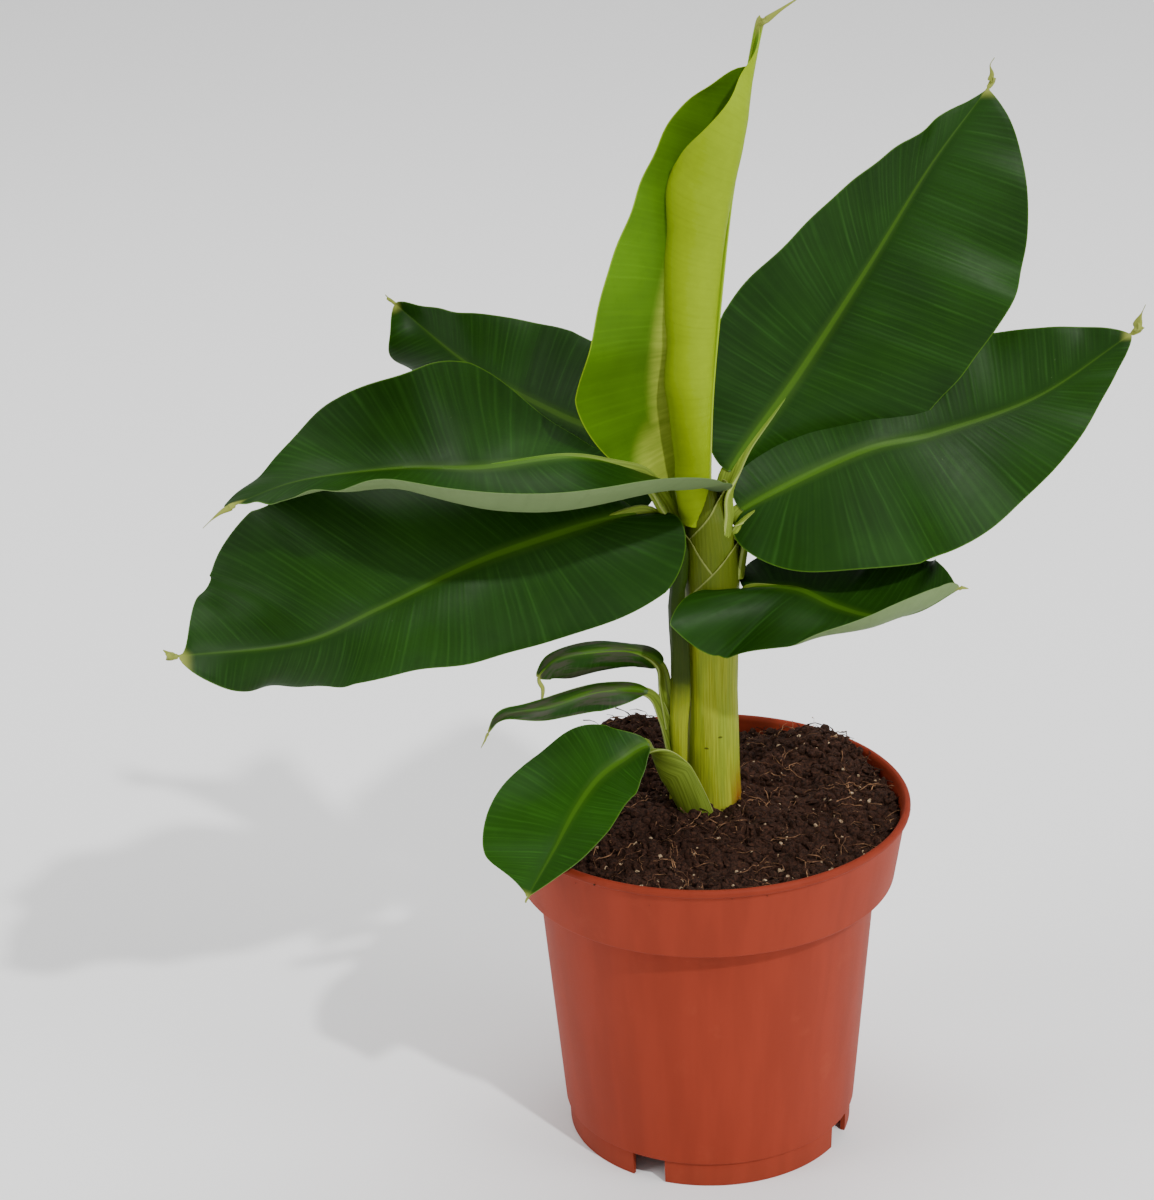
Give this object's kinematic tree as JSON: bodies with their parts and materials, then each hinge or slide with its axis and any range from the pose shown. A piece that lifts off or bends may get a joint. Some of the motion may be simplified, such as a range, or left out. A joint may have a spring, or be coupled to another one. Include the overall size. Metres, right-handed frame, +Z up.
{
  "type": "potted banana plant",
  "caption": "Young banana plant with broad leaves and a rolled top leaf on a stout stem, standing in a round plastic nursery pot filled with soil.",
  "frame": {"origin": "middle of the box's underside, on the ground under the pot", "axes": "+Z up, the viewer's side is -Y, +X to the viewer's right"},
  "size_m": [0.3148, 0.141, 0.3862],
  "materials": {
    "pot_plastic": "semi-matte terracotta-coloured plastic",
    "potting_soil": "loose dark peat with fibres",
    "stem_flesh": "smooth, finely ribbed pale green",
    "young_leaf": "soft sheen, bright green",
    "grown_leaf": "soft sheen, dark green"
  },
  "bodies": {
    "root": {"pot": "pot_plastic", "soil": "potting_soil", "pseudostem": "stem_flesh", "side_stem": "stem_flesh", "leaf_spear": "young_leaf", "leaf_upper_right": "grown_leaf", "leaf_right": "grown_leaf", "leaf_lower_right": "grown_leaf", "leaf_upper_left": "grown_leaf", "leaf_left": "grown_leaf", "leaf_back_left": "grown_leaf", "leaf_small_upper": "grown_leaf", "leaf_small_middle": "grown_leaf", "leaf_small_lower": "grown_leaf"}
  },
  "joints": []
}
